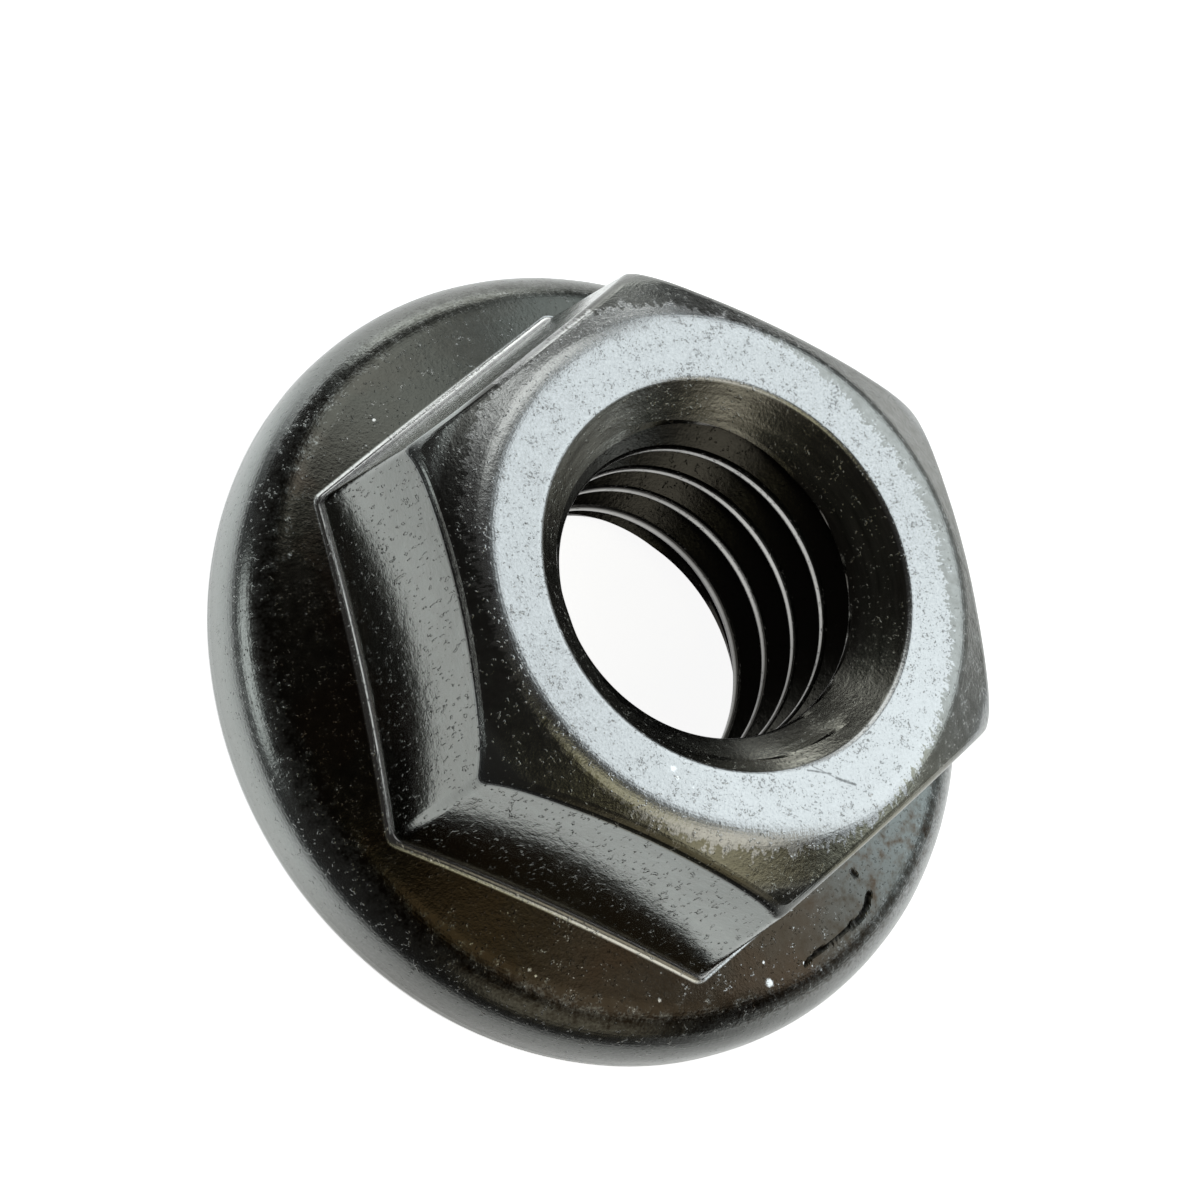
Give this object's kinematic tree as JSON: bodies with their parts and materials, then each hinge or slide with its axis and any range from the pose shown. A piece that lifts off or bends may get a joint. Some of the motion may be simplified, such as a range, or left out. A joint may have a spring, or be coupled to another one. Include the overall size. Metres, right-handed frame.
{
  "type": "flange lock nut",
  "caption": "Hexagon nut with an integral round washer flange, a threaded through hole and countersunk mouths, for clamping a joint without a loose washer.",
  "frame": {"origin": "middle of the bearing face, on the axis of the thread", "axes": "+Z along the thread from the bearing face to the top face, +X squarely out of one flat of the hexagon"},
  "size_m": [0.0136, 0.0136, 0.0057],
  "materials": {
    "black_oxide_steel": "black oxide, lightly oiled"
  },
  "bodies": {
    "root": {"flange_lock_nut": "black_oxide_steel"}
  },
  "joints": []
}
